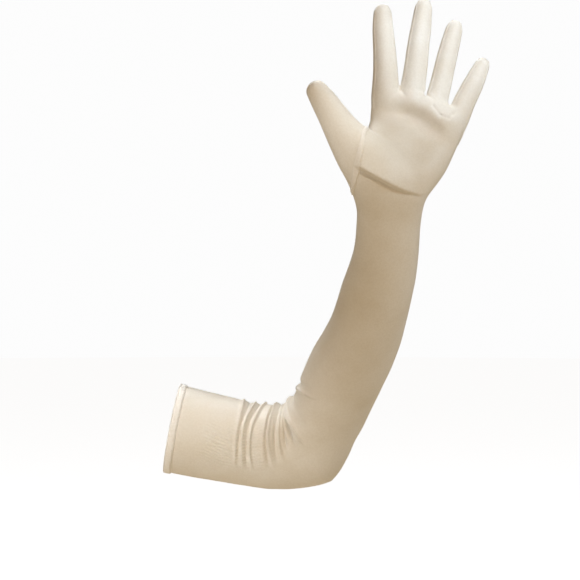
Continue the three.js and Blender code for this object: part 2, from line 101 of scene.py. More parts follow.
# The folds at the elbow: (angle round the arm, distance along it) pairs, the height of the ridge or
# depth of the crease, and its width. Angle 0 is the crook, 90 the palm side and 180 the elbow.
FOLDS = [
    ([(-95, 63), (-50, 61), (1, 59.6), (35, 58.9), (61, 58.0), (78, 57.7), (94, 58.4), (124, 61)], 1.7, 1.6),
    ([(-90, 67), (-30, 67), (24, 65.8), (50, 62.5), (65, 60.5), (81, 60.1), (94, 61.5), (118, 64)], -1.1, 1.4),
    ([(-95, 70), (-45, 73), (15, 74.0), (38, 68.6), (55, 64.3), (72, 63.1), (94, 64.5), (126, 68)], 2.1, 1.6),
    ([(-90, 75), (-30, 79), (5, 79.5), (26, 77.8), (48, 72.2), (67, 68.6), (93, 69.0), (122, 72)], -1.4, 1.5),
    ([(-92, 80), (-45, 85), (3, 86.4), (30, 81.4), (51, 77.4), (67, 73.3), (93, 73.0), (126, 77)], 2.2, 1.7),
    ([(-80, 96), (-20, 101), (5, 104), (24, 102.5), (56, 95.6), (73, 91.6), (89, 91.1), (122, 92)], -3.4, 1.8),
    ([(-85, 101), (-35, 106), (-3, 108.4), (30, 107.9), (55, 102.3), (69, 97.6), (84, 95.0), (122, 95)], 2.6, 1.5),
    ([(-75, 108), (-20, 112), (25, 113.7), (51, 110.0), (76, 103.4), (92, 100), (116, 99)], -2.6, 1.4),
    ([(-70, 113), (-20, 117), (15, 119.0), (40, 118.2), (62, 113.9), (75, 109.4), (94, 105), (114, 104)], 2.5, 1.5),
    ([(-60, 120), (-20, 123), (21, 125.2), (45, 124.0), (64, 119.9), (80, 115), (100, 111)], -4.0, 1.7),
    ([(50, 126.8), (56, 125.2), (65, 123.8), (76, 120), (92, 116)], 1.6, 1.2),
    ([(-55, 124), (-20, 127), (10, 128.4), (30, 129.2), (56, 129.3), (64, 128.4), (80, 125), (96, 121)], -4.4, 1.7),
    ([(-75, 125.5), (-30, 128), (0, 128.8), (30, 131.4), (49, 133.4), (63, 133.8), (82, 132), (102, 128)], 4.0, 1.6),
    ([(-45, 116), (-10, 118), (20, 119), (45, 117), (70, 112), (95, 108), (112, 106)], -2.8, 7.0),
    ([(-60, 137), (-20, 140), (10, 141.5), (40, 144.0), (60, 145.0), (80, 144)], -2.2, 2.9),
    ([(-60, 149), (-25, 152), (4, 154.0), (31, 163.0), (53, 170.5), (72, 175)], 2.0, 1.7),
    ([(-50, 158), (-15, 160), (8, 163.0), (31, 171.5), (54, 180)], -1.6, 2.4),
]


# ------------------------------------------------------------------ lines and sections
def curve(points, u):
    """A centripetal Catmull-Rom curve through points, at the places u counted in points."""
    ends = np.vstack([2 * points[0] - points[1], points, 2 * points[-1] - points[-2]])
    k = np.sqrt(np.linalg.norm(np.diff(ends, axis=0), axis=1))
    i = np.clip(np.floor(u).astype(int), 0, len(points) - 2)
    f = (u - i)[:, None]
    p0, p1, p2, p3 = (ends[i + j] for j in range(4))
    d0, d1, d2 = (k[i + j][:, None] for j in range(3))
    m1 = ((p1 - p0) / d0 - (p2 - p0) / (d0 + d1) + (p2 - p1) / d1) * d1
    m2 = ((p2 - p1) / d1 - (p3 - p1) / (d1 + d2) + (p3 - p2) / d2) * d1
    return (2 * f**3 - 3 * f**2 + 1) * p1 + (f**3 - 2 * f**2 + f) * m1 + (3 * f**2 - 2 * f**3) * p2 + (f**3 - f**2) * m2


def softened(values, sigma):
    """Values smoothed along the first axis, with straight run-outs so that the ends stay put."""
    n = int(4 * sigma)
    j = np.arange(1, n + 1)[:, None]
    head = values[0] - (values[1] - values[0]) * j[::-1]
    tail = values[-1] + (values[-1] - values[-2]) * j
    kernel = np.exp(-0.5 * (np.arange(-n, n + 1) / sigma) ** 2)
    kernel /= kernel.sum()
    long = np.vstack([head, values, tail])
    return np.stack([np.convolve(c, kernel, "valid") for c in long.T], axis=1)


def unit(v):
    return v / np.linalg.norm(v, axis=-1, keepdims=True)


def smoothstep(a, b, x):
    t = np.clip((x - a) / (b - a), 0, 1)
    return t * t * (3 - 2 * t)


class Arm:
    """The sleeve and palm as sections along a smooth centre line, kept every millimetre."""

    BEFORE = 15  # run-out ahead of the arm opening

    def __init__(self, table, sigma=4.0):
        u = np.linspace(0, len(table) - 1, 60 * (len(table) - 1) + 1)
        centre = curve(table[:, :3], u)
        size = curve(np.hstack([np.arange(len(table))[:, None] * 20.0, table[:, 3:]]), u)[:, 1:]
        along = np.concatenate([[0], np.cumsum(np.linalg.norm(np.diff(centre, axis=0), axis=1))])
        self.length = float(along[-1])
        s = np.arange(0, self.length, 1.0)
        both = np.stack([np.interp(s, along, c) for c in np.hstack([centre, size]).T], axis=1)
        both = softened(both, sigma)
        head = both[0] - (both[1] - both[0]) * np.arange(self.BEFORE, 0, -1)[:, None]
        tail = both[-1] + (both[-1] - both[-2]) * np.arange(1, 16)[:, None]
        tail[:, 3:] = both[-1, 3:]
        both = np.vstack([head, both, tail])
        self.first = -float(self.BEFORE)
        self.last = self.first + len(both) - 1
        self.centre, self.size = both[:, :3], both[:, 3:]
        self.along = unit(np.gradient(self.centre, axis=0))
        palm = np.tile([0.0, -1.0, 0.0], (len(both), 1))
        self.palmar = unit(palm - (palm * self.along).sum(1)[:, None] * self.along)
        self.radial = np.cross(self.palmar, self.along)
        self.bend = np.gradient(self.along, axis=0)

    def at(self, values, s):
        x = np.clip(s - self.first, 0, len(values) - 1.001)
        i = x.astype(int)
        f = (x - i)[:, None]
        return values[i] * (1 - f) + values[i + 1] * f

    def locate(self, p):
        """Distance along the arm of the section that holds each point."""
        rough = self.centre[::6]
        s = np.empty(len(p))
        for a in range(0, len(p), 200000):
            q = p[a:a + 200000].astype(np.float32)
            d = (rough**2).sum(1).astype(np.float32) - 2 * q @ rough.T.astype(np.float32)
            s[a:a + 200000] = d.argmin(1) * 6 + self.first
        for _ in range(4):
            q = p - self.at(self.centre, s)
            off = (q * self.at(self.along, s)).sum(1)
            turn = 1 - (q * self.at(self.bend, s)).sum(1)
            s = np.clip(s + np.clip(off / np.clip(turn, 0.4, 2.5), -8, 8), self.first, self.last - 0.01)
        return s

    def halves(self, s, cos, sin):
        """Half sizes of the section at s on the side that cos, sin points to, and its squareness."""
        size = self.at(self.size, s)
        side = np.clip(cos / 0.9, -1, 1)
        side = 0.5 + 0.5 * side * (1.5 - 0.5 * side**2)
        deep = np.clip(sin / 0.9, -1, 1)
        deep = 0.5 + 0.5 * deep * (1.5 - 0.5 * deep**2)
        return size[:, 1] + (size[:, 0] - size[:, 1]) * side, size[:, 3] + (size[:, 2] - size[:, 3]) * deep, size[:, 4]

    def radius(self, s, cos, sin):
        across, depth, n = self.halves(s, cos, sin)
        return ((np.abs(cos) / across) ** n + (np.abs(sin) / depth) ** n) ** (-1 / n)

    def distance(self, p):
        """Signed distance from the tube, and the place: along, towards the thumb, towards the palm."""
        s = self.locate(p)
        q = p - self.at(self.centre, s)
        a = (q * self.at(self.radial, s)).sum(1)
        b = (q * self.at(self.palmar, s)).sum(1)
        off = (q * self.at(self.along, s)).sum(1)
        r = np.hypot(a, b) + 1e-6
        across, depth, n = self.halves(s, a / r, b / r)
        x, y = np.abs(a) / across + 1e-6, np.abs(b) / depth + 1e-6
        f = (x**n + y**n) ** (1 / n)
        slope = f ** (1 - n) * np.hypot(x ** (n - 1) / across, y ** (n - 1) / depth)
        return (f - 1) / slope, s + off, a, b


class Limb:
    """A finger or the thumb: flattened balls, closely spaced along a smooth line."""

    def __init__(self, rows, tip, step=1.0):
        rows, tip = np.array(rows, float), np.array(tip, float)
        if rows.shape[1] == 5:
            deep = np.where(rows[:, 4] > 0, rows[:, 4], rows[:, 3] * 0.94)
            rows = np.column_stack([rows[:, :4], deep, rows[:, 3] * 0.84])
        u = np.linspace(0, len(rows) - 1, 40 * len(rows))
        line = curve(np.vstack([rows[:, :3], tip]), u)
        size = curve(np.hstack([np.arange(len(rows))[:, None] * 20.0, rows[:, 3:]]), u)[:, 1:]
        along = np.concatenate([[0], np.cumsum(np.linalg.norm(np.diff(line, axis=0), axis=1))])
        s = np.linspace(0, along[-1], int(along[-1] / step) + 1)
        both = np.stack([np.interp(s, along, c) for c in np.hstack([line, size]).T], axis=1)
        both = softened(both, 3.0 / step)
        self.s, self.centre, self.size = s, both[:, :3], both[:, 3:]
        self.along = unit(np.gradient(self.centre, axis=0))
        palm = np.tile([0.0, -1.0, 0.0], (len(s), 1))
        self.palmar = unit(palm - (palm * self.along).sum(1)[:, None] * self.along)
        self.radial = np.cross(self.palmar, self.along)
        self.end = float(np.linalg.norm(tip - self.centre[-1]))
        self.tip = tip

    def distance(self, p, room=16.0):
        """Signed distance, only worked out near the limb; elsewhere it is simply far."""
        reach = self.size.max() + room
        low, high = self.centre.min(0) - reach, self.centre.max(0) + reach
        near = ((p > low) & (p < high)).all(1)
        q = p[near]
        best = np.full(len(q), 60.0)
        for i in range(len(self.s)):
            v = q - self.centre[i]
            a, b, c = v @ self.radial[i], v @ self.palmar[i], v @ self.along[i]
            w = self.size[i, 0]
            d = np.where(b > 0, self.size[i, 1], self.size[i, 2])
            e = np.where(c > 0, self.end, w) if i == len(self.s) - 1 else w
            a, b, c = a / w, b / d, c / e
            f = np.sqrt(a * a + b * b + c * c) + 1e-9
            slope = np.sqrt((a / w) ** 2 + (b / d) ** 2 + (c / e) ** 2) / f
            best = np.minimum(best, (f - 1) / np.maximum(slope, 1e-6))
        out = np.full(len(p), 60.0)
        out[near] = best
        return out


def smooth_min(a, b, k):
    h = np.clip(0.5 + 0.5 * (b - a) / k, 0, 1)
    return b * (1 - h) + a * h - k * h * (1 - h)


def smooth_max(a, b, k):
    return -smooth_min(-a, -b, k)


arm = Arm(ARM)
fingers = {name: Limb(*rows) for name, rows in FINGERS.items()}
thumb = Limb(*THUMB)

# ------------------------------------------------------------------ the hand's form
# Swellings and hollows of the palm side: x, z, spread across, spread along, turn in degrees, height.
PADS = [
    (184, 284, 8, 6.5, 0, 1.6), (204, 284, 7, 6, 0, 2.6), (220, 276, 7, 6, -35, 3.0), (234, 265, 7, 6, -40, 3.0),
    (177, 236, 11, 16, 35, 2.4), (224, 220, 10, 17, -10, 3.2),
    (184, 266, 13, 6, 5, -3.9), (203, 266, 8, 5.5, -15, -4.0), (222, 252.5, 11, 6.5, -40, -4.2), (208, 242, 12, 14, -25, -4.4),
    (200, 268.5, 3.5, 3, 0, -0.9),
]
# The crease where the cloth turns from the forearm to the heel of the hand: x and z along it.
WRIST_CREASE = np.array([(150, 226), (161.4, 221.5), (172.6, 214.8), (184.8, 208.3), (197, 203), (210, 200), (224, 203)])
# Small creases where the cloth puckers: x, z to x, z, depth and width.
PUCKERS = [
    (224.0, 275.3, 229.9, 267.8, -0.8, 1.3), (229.9, 267.8, 236.5, 265.3, -0.9, 1.3),
    (236.5, 265.3, 240.5, 268.9, -0.8, 1.2), (240.5, 268.9, 245.7, 272.8, -0.8, 1.2),
    (218.6, 287.5, 212.6, 284.0, -1.1, 1.3), (218.8, 287.0, 216.6, 279.5, -1.0, 1.3),
    (218.8, 287.0, 224.5, 281.0, -1.0, 1.3), (218.8, 288.5, 211.0, 289.5, -0.8, 1.2),
    (196.8, 289.5, 192.6, 285.6, -0.7, 1.3), (196.8, 289.5, 200.6, 285.0, -0.7, 1.3),
    (197.0, 291.0, 190.0, 290.6, -0.5, 1.2),
]


def segment_distance(x, z, x0, z0, x1, z1):
    dx, dz = x1 - x0, z1 - z0
    t = np.clip(((x - x0) * dx + (z - z0) * dz) / (dx * dx + dz * dz), 0, 1)
    return np.hypot(x - x0 - t * dx, z - z0 - t * dz), t


def palm_relief(p, facing):
    """How far the palm side stands out at each point; facing is 1 on the palm side and 0 on the back."""
    x, z = p[:, 0], p[:, 2]
    out = np.zeros(len(p))
    for cx, cz, wx, wz, turn, height in PADS:
        t = math.radians(turn)
        a = (x - cx) * math.cos(t) + (z - cz) * math.sin(t)
        b = -(x - cx) * math.sin(t) + (z - cz) * math.cos(t)
        out += height * np.exp(-0.5 * ((a / wx) ** 2 + (b / wz) ** 2))
    above = z - np.interp(x, WRIST_CREASE[:, 0], WRIST_CREASE[:, 1])
    across = smoothstep(157, 164, x) * (1 - smoothstep(176, 222, x))
    heel = smoothstep(-1.0, 1.2, above) * np.exp(-np.maximum(above, 0) / 14)
    out += across * (4.6 * heel - 0.35 * (above < 0.9) * np.exp(-(((above + 1.4) / 1.6) ** 2)))
    for x0, z0, x1, z1, depth, width in PUCKERS:
        d, t = segment_distance(x, z, x0, z0, x1, z1)
        out += depth * np.exp(-((d / width) ** 2)) * (1 - 0.5 * t)
    return out * facing


def hand_distance(p):
    d, s, a, b = arm.distance(p)
    d = smooth_max(d, s - (arm.length - 2.5), 7.0)
    gathered = None
    for name in ("index", "middle", "ring", "little"):
        f = fingers[name].distance(p)
        gathered = f if gathered is None else smooth_min(gathered, f, 1.6)
    d = smooth_min(d, gathered, 5.0)
    t = thumb.distance(p)
    d = smooth_min(d, t, np.interp(p[:, 2], [212, 236, 262], [13, 7, 3.5]))
    facing = smoothstep(-3.0, 6.0, b)
    return d - palm_relief(p, facing) * np.clip(1 - np.abs(d) / 40, 0, 1)


def soft_wave(p, seed, size):
    """A slow, even random swell, about -1 to 1, from a few crossing waves."""
    rng = np.random.default_rng(seed)
    out = np.zeros(len(p))
    for _ in range(6):
        k = rng.normal(size=3)
        k *= 2 * math.pi / (size * rng.uniform(0.7, 1.5)) / np.linalg.norm(k)
        out += np.sin(p @ k + rng.uniform(0, 2 * math.pi))
    return out / 3.0


# ------------------------------------------------------------------ meshes
def surface_nets(field, low, step):
    """Points and four-sided faces of the zero surface of a sampled field, facing out of its negative side."""
    inside = field < 0
    nx, ny, nz = field.shape
    corner = list(itertools.product((0, 1), repeat=3))
    count = sum(inside[i:nx - 1 + i, j:ny - 1 + j, k:nz - 1 + k].astype(np.int8) for i, j, k in corner)
    cells = np.argwhere((count > 0) & (count < 8))
    index = np.full(count.shape, -1, np.int64)
    index[tuple(cells.T)] = np.arange(len(cells))
    total, crossings = np.zeros((len(cells), 3)), np.zeros(len(cells))
    for a in corner:
        for axis in range(3):
            if a[axis]:
                continue
            b = list(a)
            b[axis] = 1
            fa, fb = field[tuple((cells + a).T)], field[tuple((cells + b).T)]
            hit = (fa < 0) != (fb < 0)
            t = np.where(hit, fa / np.where(hit, fa - fb, 1), 0)
            at = np.tile(np.array(a, float), (len(cells), 1))
            at[:, axis] = t
            total += at * hit[:, None]
            crossings += hit
    points = np.array(low) + step * (cells + total / crossings[:, None])
    faces = []
    for axis in range(3):
        o1, o2 = (axis + 1) % 3, (axis + 2) % 3
        cut = [slice(0, n) for n in field.shape]
        cut[axis] = slice(0, field.shape[axis] - 1)
        up = [slice(0, n) for n in field.shape]
        up[axis] = slice(1, field.shape[axis])
        a, b = inside[tuple(cut)], inside[tuple(up)]
        for out, here in ((False, a & ~b), (True, ~a & b)):
            e = np.argwhere(here)
            e = e[(e[:, o1] > 0) & (e[:, o2] > 0) & (e[:, o1] < field.shape[o1] - 1) & (e[:, o2] < field.shape[o2] - 1)]
            ring = []
            for d1, d2 in ((-1, -1), (0, -1), (0, 0), (-1, 0)):
                c = e.copy()
                c[:, o1] += d1
                c[:, o2] += d2
                ring.append(index[tuple(c.T)])
            quad = np.stack(ring, 1)
            faces.append(quad[:, ::-1] if out else quad)
    return points, np.vstack(faces)


def gradient(distance, p, d, h=0.35):
    """Slope of a distance at points where it is d."""
    return np.stack([distance(p + h * e) - d for e in np.eye(3)], 1) / h


def onto_hand(p, rounds=7):
    """Points moved onto the hand's outer side, and which way is out there."""
    for _ in range(rounds):
        d = hand_distance(p)
        out = gradient(hand_distance, p, d)
        p = p - out * np.clip(d / np.maximum((out**2).sum(1), 0.25), -1.5, 1.5)[:, None]
    return p, unit(out)


def dropped(x, z, side):
    """Points of the hand's palm side (-1) or back (1) that lie at each x and z."""
    p = np.column_stack([x, np.full(len(x), -100.0 + 48 * side), z])
    for _ in range(60):
        p[:, 1] -= 0.8 * side * hand_distance(p)
    return p


def evened(points, faces, distance, offset, rounds=3):
    """Slides a mesh's points towards their neighbours' middle and back onto the surface."""
    edges = np.unique(np.sort(np.vstack([faces[:, [i, (i + 1) % 4]] for i in range(4)]), axis=1), axis=0)
    both = np.vstack([edges, edges[:, ::-1]])
    degree = np.bincount(both[:, 0], minlength=len(points))[:, None]
    for _ in range(rounds):
        mean = np.stack([np.bincount(both[:, 0], points[both[:, 1], k], len(points)) for k in range(3)], 1) / degree
        points = points + 0.6 * (mean - points)
        for _ in range(2):
            d = distance(points)
            grad = gradient(distance, points, d)
            size = np.maximum((grad**2).sum(1), 0.25)
            points = points - grad * np.clip((d + offset) / size, -1.5, 1.5)[:, None]
    return points


def hand_mesh(step, offset):
    """The hand beyond the wrist as points and triangles, open at the wrist, with its rim in order."""
    low, high = np.array([100.0, -146.0, 140.0]), np.array([292.0, -54.0, 384.0])
    n = ((high - low) / step).astype(int) + 1
    axes = [low[k] + step * np.arange(n[k]) for k in range(3)]
    grid = np.stack(np.meshgrid(*axes, indexing="ij"), -1).reshape(-1, 3)
    field = np.full(len(grid), 50.0)
    coarse = arm.distance(grid)[0]
    near = coarse < 16
    for limb in [*fingers.values(), thumb]:
        reach = limb.size.max() + 5
        near |= ((grid > limb.centre.min(0) - reach) & (grid < limb.centre.max(0) + reach)).all(1)
    field[near] = hand_distance(grid[near]) + offset
    points, faces = surface_nets(field.reshape(n), low, step)
    points = evened(points, faces, hand_distance, offset)
    mesh = bpy.data.meshes.new("scratch")
    mesh.from_pydata(points.tolist(), [], faces.tolist())
    bm = bmesh.new()
    bm.from_mesh(mesh)
    bpy.data.meshes.remove(mesh)
    s = np.array([WRIST])
    centre, along = arm.at(arm.centre, s)[0], arm.at(arm.along, s)[0]
    geometry = [*bm.verts, *bm.edges, *bm.faces]
    bmesh.ops.bisect_plane(bm, geom=geometry, plane_co=Vector(centre), plane_no=Vector(along), clear_inner=True, dist=0.02)
    bmesh.ops.triangulate(bm, faces=bm.faces)
    bm.verts.index_update()
    rim = [v.index for v in bm.verts if any(len(e.link_faces) == 1 for e in v.link_edges)]
    points = np.array([v.co for v in bm.verts])
    faces = np.array([[v.index for v in f.verts] for f in bm.faces])
    bm.free()
    rim = np.array(rim)
    angle = angles_round(points[rim])
    order = np.argsort(angle)
    return points, faces, rim[order]


def angles_round(p):
    """Angle of each point round the arm in degrees, 0 to 360, from the crook towards the palm side."""
    s = arm.locate(p)
    q = p - arm.at(arm.centre, s)
    return np.degrees(np.arctan2((q * arm.at(arm.palmar, s)).sum(1), (q * arm.at(arm.radial, s)).sum(1))) % 360


def zipped(lower, upper, angle_lower, angle_upper):
    """Triangles between two closed loops, each in order of rising angle."""
    n, m = len(lower), len(upper)
    a = np.concatenate([angle_lower, [angle_lower[0] + 360]])
    b = np.concatenate([angle_upper, [angle_upper[0] + 360]])
    i = j = 0
    faces = []
    while i < n or j < m:
        if j == m or (i < n and a[i + 1] <= b[j + 1]):
            faces.append((lower[i], lower[(i + 1) % n], upper[j % m]))
            i += 1
        else:
            faces.append((lower[i % n], upper[(j + 1) % m], upper[j]))
            j += 1
    return faces


WRIST = 334.0  # where the tube of the sleeve joins the form of the hand
HEM = 6.5
SKIN = 0.8
FADE = 12.0


def fold_relief(s, angle, least=0.0):
    """Ridges and creases of the gathered elbow, at least so wide, at distance s along the arm and an angle."""
    out = np.zeros(len(s))
    turn = (angle + 180) % 360 - 180
    fine = np.arange(-180, 181, 2.0)
    for n, (line, height, width) in enumerate(FOLDS):
        if width < least:
            continue
        knots = np.array(line, float)
        place = np.interp(fine, knots[:, 0], knots[:, 1])
        place = softened(place[:, None], 3.0)[:, 0]
        first, last = knots[0, 0], knots[-1, 0]
        strength = smoothstep(first - 6, first + 34, fine) * (1 - smoothstep(last - 26, last + 6, fine))
        strength = strength * (1 + 0.18 * np.sin(fine / 17.0 + 2.4 * n))
        wide = width * (1 + 0.25 * np.sin(fine / 23.0 + 1.7 * n))
        gap = s - np.interp(turn, fine, place)
        w = np.interp(turn, fine, wide)
        out += height * np.interp(turn, fine, strength) * np.exp(-((gap / w) ** 2))
    return out


def elbow_point(s, angle):
    """How far the cloth is pushed out over the point of the elbow."""
    away = np.abs(180 - np.abs((angle + 180) % 360 - 180))
    return 7.5 * np.clip(1 - np.abs(s - 119) / 30, 0, 1) ** 1.6 * np.cos(0.5 * math.pi * np.clip(away / 62, 0, 1))


def sleeve_relief(s, angle, p):
    """How far the cloth of the sleeve stands off its plain form."""
    out = fold_relief(s, angle) + elbow_point(s, angle)
    ripple = smoothstep(18, 45, s) * (1 - smoothstep(84, 104, s))
    ripple *= smoothstep(56, 86, angle) * (1 - smoothstep(118, 142, angle))
    sag = 8 * np.sin(math.pi * np.clip((s - 32) / 62, 0, 1))
    phase = np.radians(angle - sag) * 37.5 / 2.8
    out += 0.47 * ripple * np.sin(2 * math.pi * phase)
    calm = smoothstep(4, 25, s) * (1 - smoothstep(WRIST - 40, WRIST - 8, s))
    out += calm * (0.35 * soft_wave(p, 3, 46) + 0.12 * soft_wave(p, 5, 17))
    return out


def ring_angles(count):
    """Angles round the sleeve, closer together on the palm side where the cloth has fine ripples."""
    fine = np.linspace(0, 360, 3601)
    density = 1 + 0.75 * smoothstep(35, 70, fine) * (1 - smoothstep(110, 150, fine))
    total = np.concatenate([[0], np.cumsum((density[1:] + density[:-1]) / 2)])
    return np.interp(np.arange(count) / count * total[-1], total, fine)


def rows_along(stops):
    """Distances along the arm: (end, step) pairs from the first stop."""
    out = [stops[0]]
    for end, step in stops[1:]:
        n = max(1, round((end - out[-1]) / step))
        out += list(out[-1] + (end - out[-1]) * np.arange(1, n + 1) / n)
    return np.array(out)


def sleeve_cloth(s, angle):
    """Points of the sleeve's outer cloth, and which way is out there."""
    cos, sin = np.cos(np.radians(angle)), np.sin(np.radians(angle))
    way = arm.at(arm.radial, s) * cos[:, None] + arm.at(arm.palmar, s) * sin[:, None]
    p = arm.at(arm.centre, s) + way * arm.radius(s, cos, sin)[:, None]
    tuck = -0.5 * (1 - smoothstep(HEM - 0.5, HEM + 2.0, s))
    return p + way * (sleeve_relief(s, angle, p) + tuck)[:, None], way


def sleeve_rings(rows, angles, inner):
    """Rings of points of the sleeve's outer cloth, or of its inner side."""
    s = np.repeat(rows, len(angles))
    angle = np.tile(angles, len(rows))
    if not inner:
        return sleeve_cloth(s, angle)[0]
    cos, sin = np.cos(np.radians(angle)), np.sin(np.radians(angle))
    way = arm.at(arm.radial, s) * cos[:, None] + arm.at(arm.palmar, s) * sin[:, None]
    off = elbow_point(s, angle) + fold_relief(s, angle, 5.0) - SKIN - 4.8 * smoothstep(45, 60, s) * (1 - smoothstep(170, 190, s))
    return arm.at(arm.centre, s) + way * (arm.radius(s, cos, sin) + off)[:, None]


def tube_faces(rows, columns, start=0):
    """Four-sided faces between rings of points, facing out, as pairs of triangles."""
    i = np.arange(rows - 1)[:, None] * columns
    j = np.arange(columns)[None, :]
    k = (j + 1) % columns
    a, b, c, d = i + j, i + k, i + columns + k, i + columns + j
    a, b, c, d = (v.reshape(-1) + start for v in (a, b, c, d))
    return np.vstack([np.stack([a, b, c], 1), np.stack([a, c, d], 1)])


def glove_mesh():
    """The whole cloth: outer side, inner side, and the turn between them inside the hem."""
    angles = ring_angles(214)
    k = 1.0
    rows = rows_along([1.2, (52, 2.1 * k), (142, 0.78 * k), (172, 1.3 * k), (WRIST - 2, 2.4 * k)])
    outer = sleeve_rings(rows, angles, False)
    hand, hand_faces, rim = hand_mesh(1.32, 0.0)
    angles_in = np.arange(64) * 360 / 64
    rows_in = rows_along([1.2, (60, 6), (180, 5), (WRIST - 3, 9)])
    inner = sleeve_rings(rows_in, angles_in, True)
    hand_in, hand_in_faces, rim_in = hand_mesh(2.9, SKIN)
    starts = np.cumsum([0, len(outer), len(hand), len(inner), len(hand_in)])
    n, m = len(angles), len(angles_in)
    faces = [tube_faces(len(rows), n), hand_faces + starts[1]]
    last = starts[1] - n + np.arange(n)
    faces.append(np.array(zipped(last, rim + starts[1], angles, angles_round(hand[rim]))))
    inside = [tube_faces(len(rows_in), m, starts[2]), hand_in_faces + starts[3]]
    last = starts[3] - m + np.arange(m)
    inside.append(np.array(zipped(last, rim_in + starts[3], angles_in, angles_round(hand_in[rim_in]))))
    faces += [f[:, ::-1] for f in inside]
    first = np.arange(n)
    first_in = starts[2] + np.arange(m)
    faces.append(np.array(zipped(first_in, first, angles_in, angles)))
    return np.vstack([outer, hand, inner, hand_in]), np.vstack(faces), starts


def piece(name, points, faces, material, slot, *nodes):
    mesh = bpy.data.meshes.new(name)
    mesh.from_pydata((np.asarray(points) * MM).tolist(), [], [tuple(int(v) for v in f) for f in faces])
    mesh.validate()
    mesh.update()
    mesh.shade_smooth()
    obj = bpy.data.objects.new(name, mesh)
    bpy.context.scene.collection.objects.link(obj)
    mesh.materials.append(material)
    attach(obj, "root")
    if nodes:
        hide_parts(*nodes)
    return obj


# ------------------------------------------------------------------ materials
def satin(name, light, deep, rib=0.0):
    """Ivory stretch satin: a soft sheen, a fine weave and a slow drift of colour and gloss."""
    material = bpy.data.materials.new(name)
    material.use_nodes = True
    tree = material.node_tree
    tree.nodes.clear()
    node, link = tree.nodes.new, tree.links.new
    out = node("ShaderNodeOutputMaterial")
    shader = node("ShaderNodeBsdfPrincipled")
    link(shader.outputs["BSDF"], out.inputs["Surface"])
    shader.inputs["Specular IOR Level"].default_value = 0.42
    shader.inputs["Sheen Weight"].default_value = 0.12
    shader.inputs["Sheen Roughness"].default_value = 0.42
    shader.inputs["Sheen Tint"].default_value = (1.0, 0.97, 0.92, 1)
    place = node("ShaderNodeTexCoord").outputs["Object"]

    def noise(scale, detail=2.0, roughness=0.5):
        n = node("ShaderNodeTexNoise")
        n.inputs["Scale"].default_value = scale
        n.inputs["Detail"].default_value = detail
        n.inputs["Roughness"].default_value = roughness
        link(place, n.inputs["Vector"])
        return n.outputs["Fac"]

    def ramp(value, stops):
        r = node("ShaderNodeValToRGB")
        r.color_ramp.interpolation = "EASE"
        while len(r.color_ramp.elements) < len(stops):
            r.color_ramp.elements.new(0.5)
        for element, (at, colour) in zip(r.color_ramp.elements, stops):
            element.position = at
            element.color = (*colour, 1)
        link(value, r.inputs["Fac"])
        return r.outputs["Color"]

    drift = ramp(noise(34, 3), [(0.30, deep), (0.66, light)])
    mottle = ramp(noise(620, 2, 0.6), [(0.32, (0.955, 0.95, 0.94)), (0.68, (1.0, 1.0, 1.0))])
    mix = node("ShaderNodeMix")
    mix.data_type = "RGBA"
    mix.blend_type = "MULTIPLY"
    mix.inputs["Factor"].default_value = 1.0
    link(drift, mix.inputs["A"])
    link(mottle, mix.inputs["B"])
    link(mix.outputs["Result"], shader.inputs["Base Color"])
    gloss = node("ShaderNodeMapRange")
    gloss.inputs["To Min"].default_value = 0.40
    gloss.inputs["To Max"].default_value = 0.56
    link(noise(90, 2), gloss.inputs["Value"])
    link(gloss.outputs["Result"], shader.inputs["Roughness"])

    height = None

    def bump(value, distance, strength):
        nonlocal height
        b = node("ShaderNodeBump")
        b.inputs["Distance"].default_value = distance
        b.inputs["Strength"].default_value = strength
        link(value, b.inputs["Height"])
        if height is not None:
            link(height, b.inputs["Normal"])
        height = b.outputs["Normal"]

    def wave(direction, scale, distort):
        w = node("ShaderNodeTexWave")
        w.wave_type = "BANDS"
        w.bands_direction = direction
        w.inputs["Scale"].default_value = scale
        w.inputs["Distortion"].default_value = distort
        w.inputs["Detail"].default_value = 1.0
        link(place, w.inputs["Vector"])
        return w.outputs["Fac"]

    bump(noise(55, 2), 0.0006, 0.30)
    bump(noise(900, 2, 0.6), 0.00012, 0.55)
    bump(wave("DIAGONAL", 700, 1.5), 0.00004, 0.5)
    if rib:
        bump(wave("Z", rib, 2.0), 0.00012, 0.5)
    link(height, shader.inputs["Normal"])
    return material


# ------------------------------------------------------------------ build
cloth = satin("ivory_satin", (0.865, 0.835, 0.775), (0.825, 0.785, 0.71))
# The hem is the same satin as the rest of the glove, painted paler: a painted highlight for the light that falls on its
# rolled edge.
hem_cloth_painted_highlight = satin("ivory_satin_hem_painted_highlight", (0.965, 0.96, 0.945), (0.95, 0.94, 0.915), rib=160)
# The thumb's strip is the same satin, painted paler than the glove: a painted highlight added to the real light that
# its raised form catches.
strip_cloth_painted_highlight = satin("ivory_satin_strip_painted_highlight", (0.925, 0.90, 0.855), (0.90, 0.865, 0.81))
thread = satin("ivory_thread", (0.94, 0.92, 0.88), (0.91, 0.885, 0.83), rib=900)

points, faces, starts = glove_mesh()
glove = piece("glove_cloth", points, faces, cloth, "satin", "upper_sleeve", "elbow_sleeve", "forearm_sleeve",
              "hand", "thumb", "index_finger", "middle_finger", "ring_finger", "little_finger")


